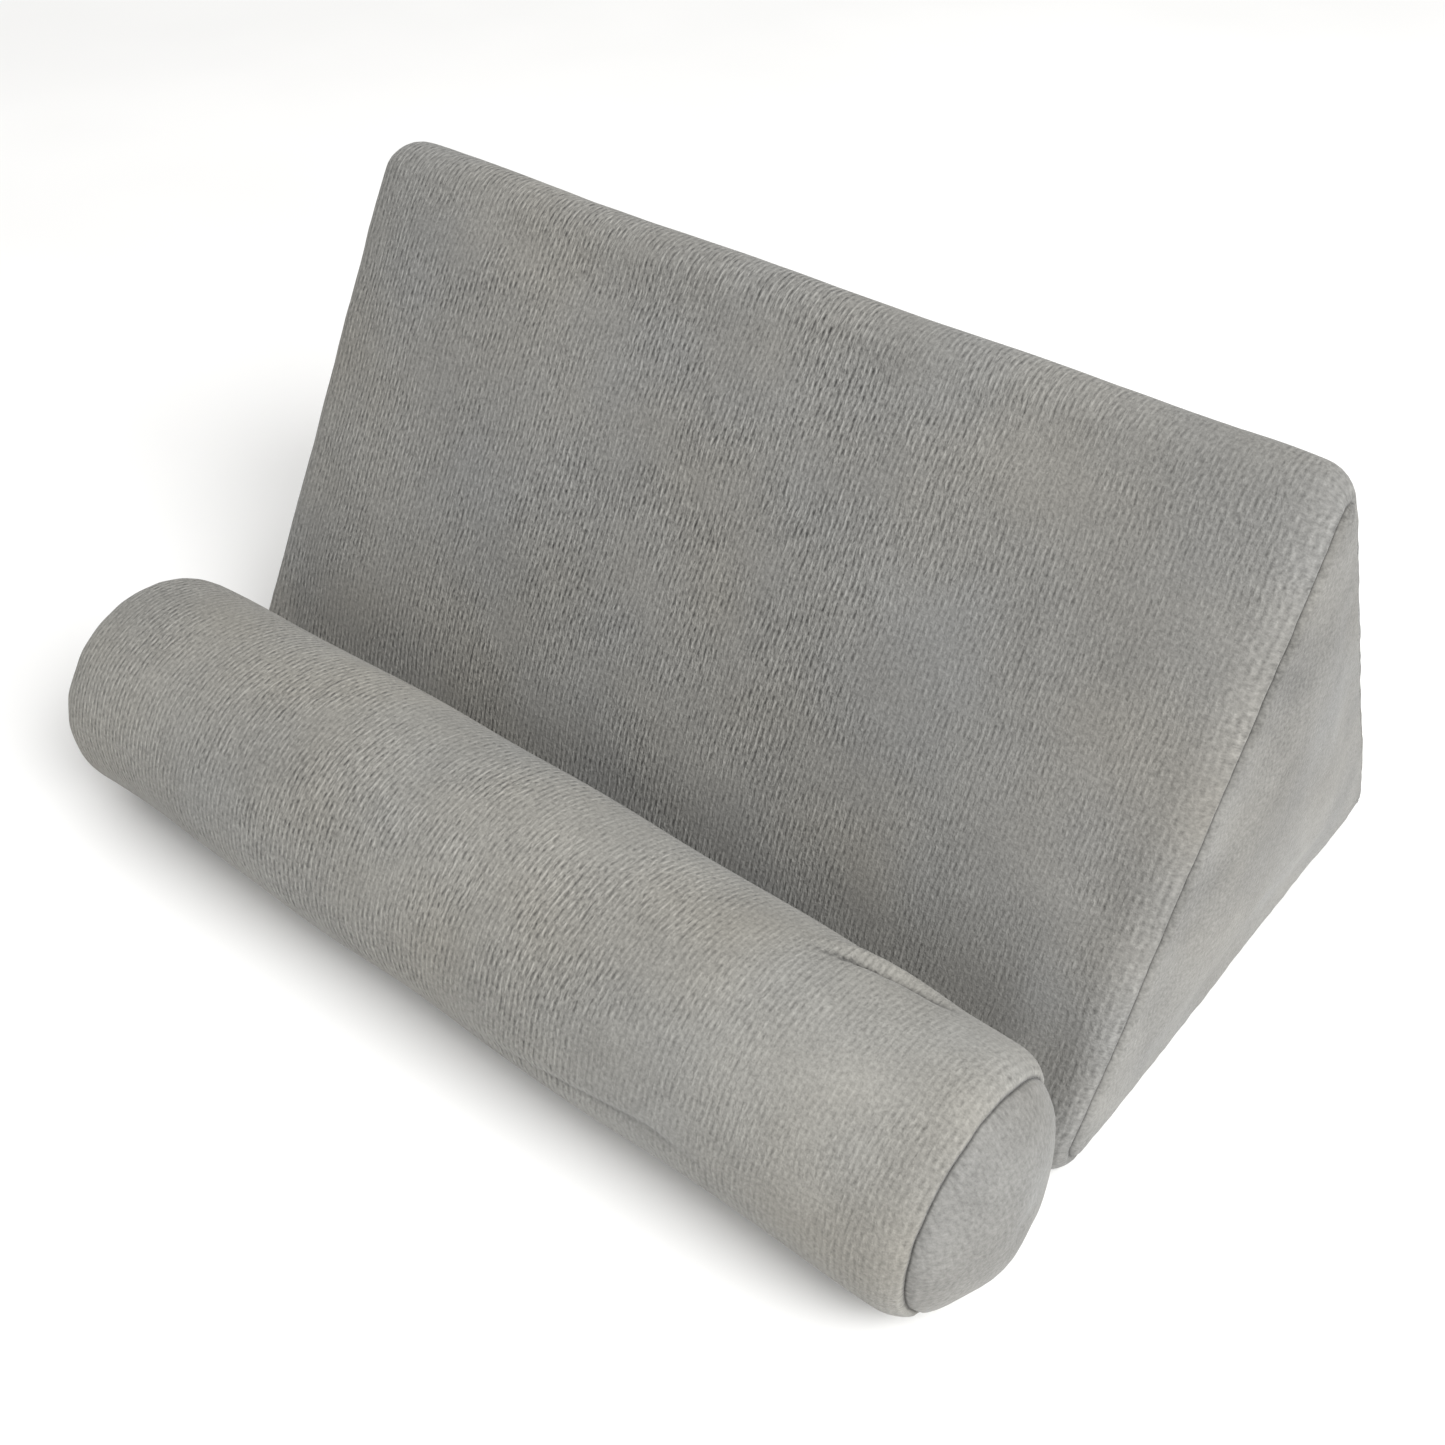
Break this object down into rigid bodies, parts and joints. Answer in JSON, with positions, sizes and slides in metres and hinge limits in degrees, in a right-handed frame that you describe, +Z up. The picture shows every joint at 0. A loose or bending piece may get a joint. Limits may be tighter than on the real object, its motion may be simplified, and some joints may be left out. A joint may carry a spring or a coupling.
{
  "type": "tablet stand",
  "caption": "Soft pillow stand for a tablet: a foam wedge with a foam roll hinged along its front edge, both in grey pile cloth covers, the wedge's with a zip.",
  "frame": {"origin": "middle of the whole stand's footprint, on the surface it stands on", "axes": "+X along the roll, to the right of someone facing the sloping front; +Y from the roll towards the back; +Z up"},
  "size_m": [0.2892, 0.2278, 0.1454],
  "materials": {
    "pile_cloth": "short ribbed pile, grey",
    "pile_cloth_side": "short smooth pile, grey",
    "pile_cloth_roll": "short ribbed pile, warm grey",
    "foam": "open-cell foam",
    "zip_tape": "woven tape",
    "zip_coil": "nylon coil",
    "zip_metal": "painted zinc, satin",
    "label_satin": "woven satin, blank"
  },
  "bodies": {
    "wedge": {"wedge_foam": "foam", "cover_wrap": "pile_cloth", "cover_base": "pile_cloth", "cover_end_left": "pile_cloth_side", "cover_end_right": "pile_cloth_side", "strip_seam": "pile_cloth", "zip_tape_upper": "zip_tape", "zip_tape_lower": "zip_tape", "zip_coil_upper": "zip_coil", "zip_coil_lower": "zip_coil", "care_label": "label_satin"},
    "slider": {"zip_slider": "zip_metal"},
    "pull": {"zip_pull": "zip_metal"},
    "roll": {"roll_foam": "foam", "roll_wrap": "pile_cloth_roll", "roll_cap_left": "pile_cloth_side", "roll_cap_right": "pile_cloth_side", "hinge_strip": "pile_cloth"}
  },
  "joints": [
    {"name": "roll_fold", "type": "hinge", "parent": "wedge", "child": "roll", "pos_m": [0, -0.04948, 0], "axis": [1, 0, 0], "range_deg": [-15, 170]},
    {"name": "zip_slide", "type": "slide", "parent": "wedge", "child": "slider", "axis": [1, 0, 0], "range_m": [0, 0.24]},
    {"name": "pull_turn", "type": "hinge", "parent": "slider", "child": "pull", "pos_m": [-0.122, 0.11052, 0.01876], "axis": [0, -0.5, 0.866], "range_deg": [0, 178]}
  ]
}
